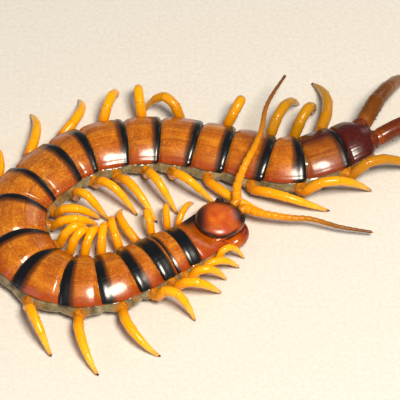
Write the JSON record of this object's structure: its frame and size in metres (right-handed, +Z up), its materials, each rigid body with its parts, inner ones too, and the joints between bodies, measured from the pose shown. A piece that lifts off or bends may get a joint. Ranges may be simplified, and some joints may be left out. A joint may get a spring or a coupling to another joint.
{
  "type": "giant centipede",
  "caption": "Life-size still model of a giant centipede: banded plates over a long bent body, a leg pair to each segment, long feelers, stout rear legs, resting in an open coil.",
  "frame": {"origin": "on the floor under the middle of the model's box, level with the undersides of its feet", "axes": "+Z up; +X towards the tail and the last legs, which is the longest extent; +Y away from the viewer of the picture, across the open coil"},
  "size_m": [0.09, 0.0666, 0.0097],
  "materials": {
    "shell": "glossy amber-orange shell with black rear bands",
    "head_shell": "glossy orange-red shell, smoky at the rim",
    "claw_horn": "glossy dark red horn",
    "leg_horn": "glossy yellow-orange horn",
    "last_leg_horn": "glossy red-brown horn",
    "feeler": "satin yellow-orange, browner to the tip",
    "eye": "glossy near-black lenses"
  },
  "bodies": {
    "root": {"antenna_left": "feeler", "antenna_right": "feeler", "eyes_left": "eye", "eyes_right": "eye", "forcipule_base": "head_shell", "forcipule_left": "claw_horn", "forcipule_right": "claw_horn", "head": "head_shell", "leg_01_left": "leg_horn", "leg_01_right": "leg_horn", "leg_02_left": "leg_horn", "leg_02_right": "leg_horn", "leg_03_left": "leg_horn", "leg_03_right": "leg_horn", "leg_04_left": "leg_horn", "leg_04_right": "leg_horn", "leg_05_left": "leg_horn", "leg_05_right": "leg_horn", "leg_06_left": "leg_horn", "leg_06_right": "leg_horn", "leg_07_left": "leg_horn", "leg_07_right": "leg_horn", "leg_08_left": "leg_horn", "leg_08_right": "leg_horn", "leg_09_left": "leg_horn", "leg_09_right": "leg_horn", "leg_10_left": "leg_horn", "leg_10_right": "leg_horn", "leg_11_left": "leg_horn", "leg_11_right": "leg_horn", "leg_12_left": "leg_horn", "leg_12_right": "leg_horn", "leg_13_left": "leg_horn", "leg_13_right": "leg_horn", "leg_14_left": "leg_horn", "leg_14_right": "leg_horn", "leg_15_left": "leg_horn", "leg_15_right": "leg_horn", "leg_16_left": "leg_horn", "leg_16_right": "leg_horn", "leg_17_left": "leg_horn", "leg_17_right": "leg_horn", "leg_18_left": "leg_horn", "leg_18_right": "leg_horn", "leg_19_left": "leg_horn", "leg_19_right": "leg_horn", "leg_20_left": "leg_horn", "leg_20_right": "leg_horn", "leg_21_left": "last_leg_horn", "leg_21_right": "last_leg_horn", "trunk_1": "shell", "trunk_2": "shell", "trunk_3": "shell", "trunk_4": "shell", "trunk_5": "shell", "trunk_6": "shell", "trunk_7": "shell"}
  },
  "joints": []
}
